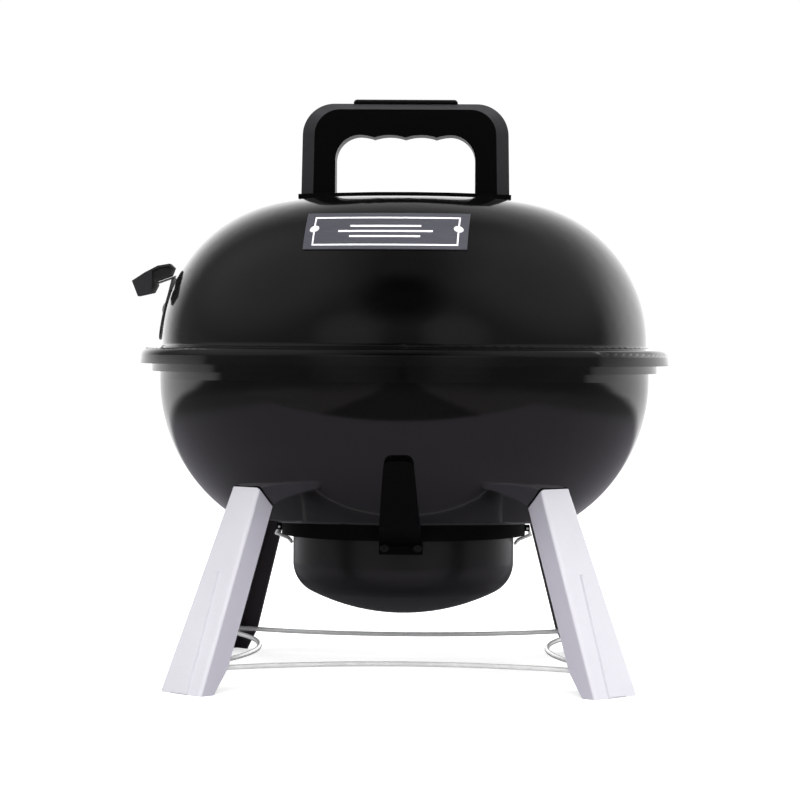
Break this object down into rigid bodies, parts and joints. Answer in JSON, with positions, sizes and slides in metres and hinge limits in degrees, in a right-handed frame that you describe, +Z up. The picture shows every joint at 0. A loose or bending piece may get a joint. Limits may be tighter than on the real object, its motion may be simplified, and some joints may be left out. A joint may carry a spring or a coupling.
{
  "type": "portable tabletop charcoal grill",
  "caption": "Round enamelled charcoal kettle grill with a domed lid, carrying handle, hanging ash bowl and splayed legs joined by a wire brace.",
  "frame": {"origin": "on the standing surface, under the bowl's vertical axis", "axes": "+Z up; the name plate and the ash bowl's grip face -Y; the damper lever is at -X; the handle lies along X"},
  "size_m": [0.3877, 0.381, 0.4136],
  "materials": {
    "enamel": "gloss vitreous enamel",
    "enamel_satin": "semi-gloss enamel",
    "dark_steel": "matte heat-resistant paint",
    "handle_plastic": "satin moulded",
    "pad_rubber": "fine grained",
    "lever_plastic": "matte moulded",
    "grip_plastic": "satin moulded",
    "plate_metal": "anodised grey",
    "leg_silver": "silver metallic paint",
    "wire_chrome": "bright plated",
    "grate_chrome": "plated wire",
    "grate_steel": "bare steel wire",
    "zinc": "zinc plated"
  },
  "bodies": {
    "grill_base": {"bowl": "enamel", "ash_collar": "dark_steel", "grate_supports": "dark_steel", "leg_front_left": "leg_silver", "leg_front_right": "leg_silver", "leg_rear_left": "leg_silver", "leg_rear_right": "leg_silver", "leg_bolts": "zinc", "leg_nuts": "zinc", "brace_ring": "wire_chrome"},
    "lid_assembly": {"lid": "enamel", "lid_handle": "handle_plastic", "handle_top_pad": "pad_rubber", "handle_heat_shield": "dark_steel", "handle_screws": "zinc", "name_plate": "plate_metal", "name_plate_rivets": "zinc", "damper_rivet": "zinc"},
    "damper": {"lid_damper": "zinc", "damper_lever_grip": "lever_plastic"},
    "cook_grate": {"cooking_grate": "grate_chrome"},
    "coal_grate": {"charcoal_grate": "grate_steel"},
    "ash_catcher": {"ash_bowl": "enamel_satin", "ash_bowl_grip": "grip_plastic", "grip_screws": "zinc"},
    "clip_left": {"ash_clip_left": "wire_chrome"},
    "clip_right": {"ash_clip_right": "wire_chrome"}
  },
  "joints": [
    {"name": "lid_lift", "type": "slide", "parent": "grill_base", "child": "lid_assembly", "axis": [0, 0, 1], "range_m": [0, 0.15]},
    {"name": "damper_turn", "type": "hinge", "parent": "lid_assembly", "child": "damper", "pos_m": [-0.1727, 0, 0.26245], "axis": [-0.9724, 0, 0.2334], "range_deg": [0, 60]},
    {"name": "cooking_grate_lift", "type": "slide", "parent": "grill_base", "child": "cook_grate", "axis": [0, 0, 1], "range_m": [0, 0.005]},
    {"name": "charcoal_grate_lift", "type": "slide", "parent": "grill_base", "child": "coal_grate", "axis": [0, 0, 1], "range_m": [0, 0.05]},
    {"name": "ash_bowl_drop", "type": "slide", "parent": "grill_base", "child": "ash_catcher", "axis": [0, 0, -1], "range_m": [0, 0.04]},
    {"name": "clip_left_turn", "type": "hinge", "parent": "grill_base", "child": "clip_left", "pos_m": [-0.0897, 0, 0.1052], "axis": [0, 1, 0], "range_deg": [0, 70]},
    {"name": "clip_right_turn", "type": "hinge", "parent": "grill_base", "child": "clip_right", "pos_m": [0.0897, 0, 0.1052], "axis": [0, -1, 0], "range_deg": [0, 70]}
  ]
}
